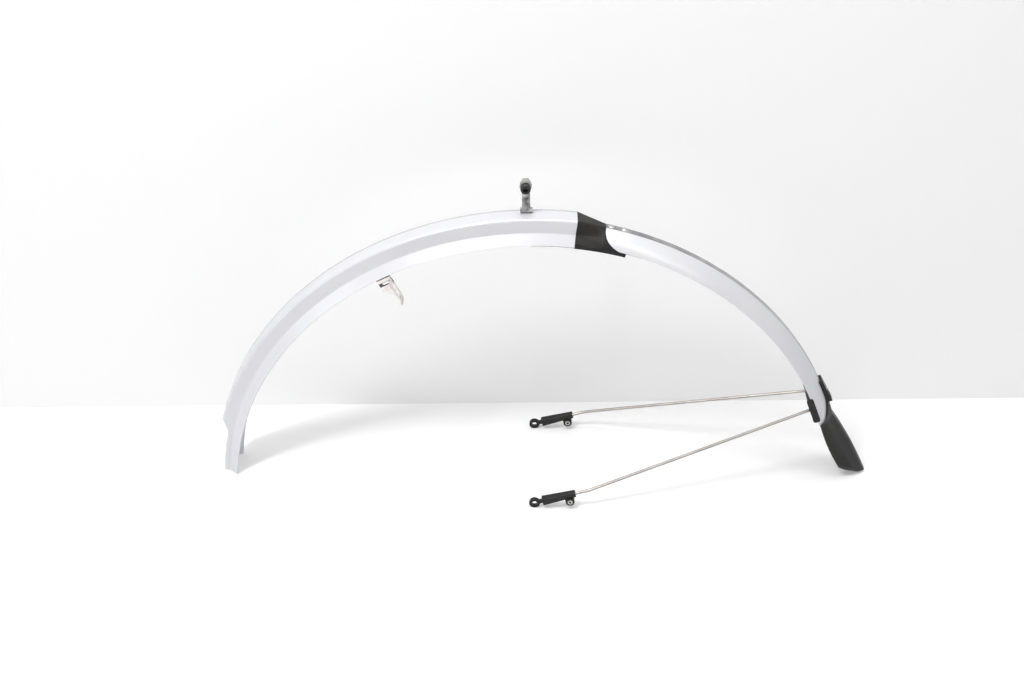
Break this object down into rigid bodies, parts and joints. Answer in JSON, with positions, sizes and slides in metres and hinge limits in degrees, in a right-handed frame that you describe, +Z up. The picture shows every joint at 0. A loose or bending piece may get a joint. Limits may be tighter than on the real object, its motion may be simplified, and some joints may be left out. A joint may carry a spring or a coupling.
{
  "type": "bicycle mudguard",
  "caption": "Two-piece rear bicycle mudguard with a channelled front blade, a rounded rear blade, a wire stay with clamped eyelets, frame fixings and a moulded flap.",
  "frame": {"origin": "on the floor, at the middle of the object's length and width", "axes": "+X to the rear of the bicycle, +Y to its right, +Z up from the floor that the mudguard stands on"},
  "size_m": [0.7303, 0.1534, 0.3678],
  "materials": {
    "silver_paint": "satin silver",
    "black_plastic": "moulded",
    "stainless_wire": "drawn wire",
    "bright_plate": "polished plate",
    "zinc": "bright zinc",
    "black_steel": "gloss black"
  },
  "bodies": {
    "root": {"front_blade": "silver_paint", "rear_blade": "silver_paint", "blade_connector": "black_plastic", "mudflap": "black_plastic", "flap_saddle": "black_plastic", "stay_bridge": "black_plastic", "left_stay_eyelet": "black_plastic", "right_stay_eyelet": "black_plastic", "left_stay_holder": "black_plastic", "right_stay_holder": "black_plastic", "stay_wire": "stainless_wire", "side_bracket": "bright_plate", "side_bracket_rivet": "bright_plate", "connector_rivets": "zinc", "bridge_tab": "zinc", "bridge_tab_rivet": "zinc", "bridge_washers": "zinc", "bridge_nut": "zinc", "saddle_screws": "zinc", "left_clamp_screw": "zinc", "right_clamp_screw": "zinc", "left_clamp_nut": "zinc", "right_clamp_nut": "zinc", "bridge_bolt": "black_steel"}
  },
  "joints": []
}
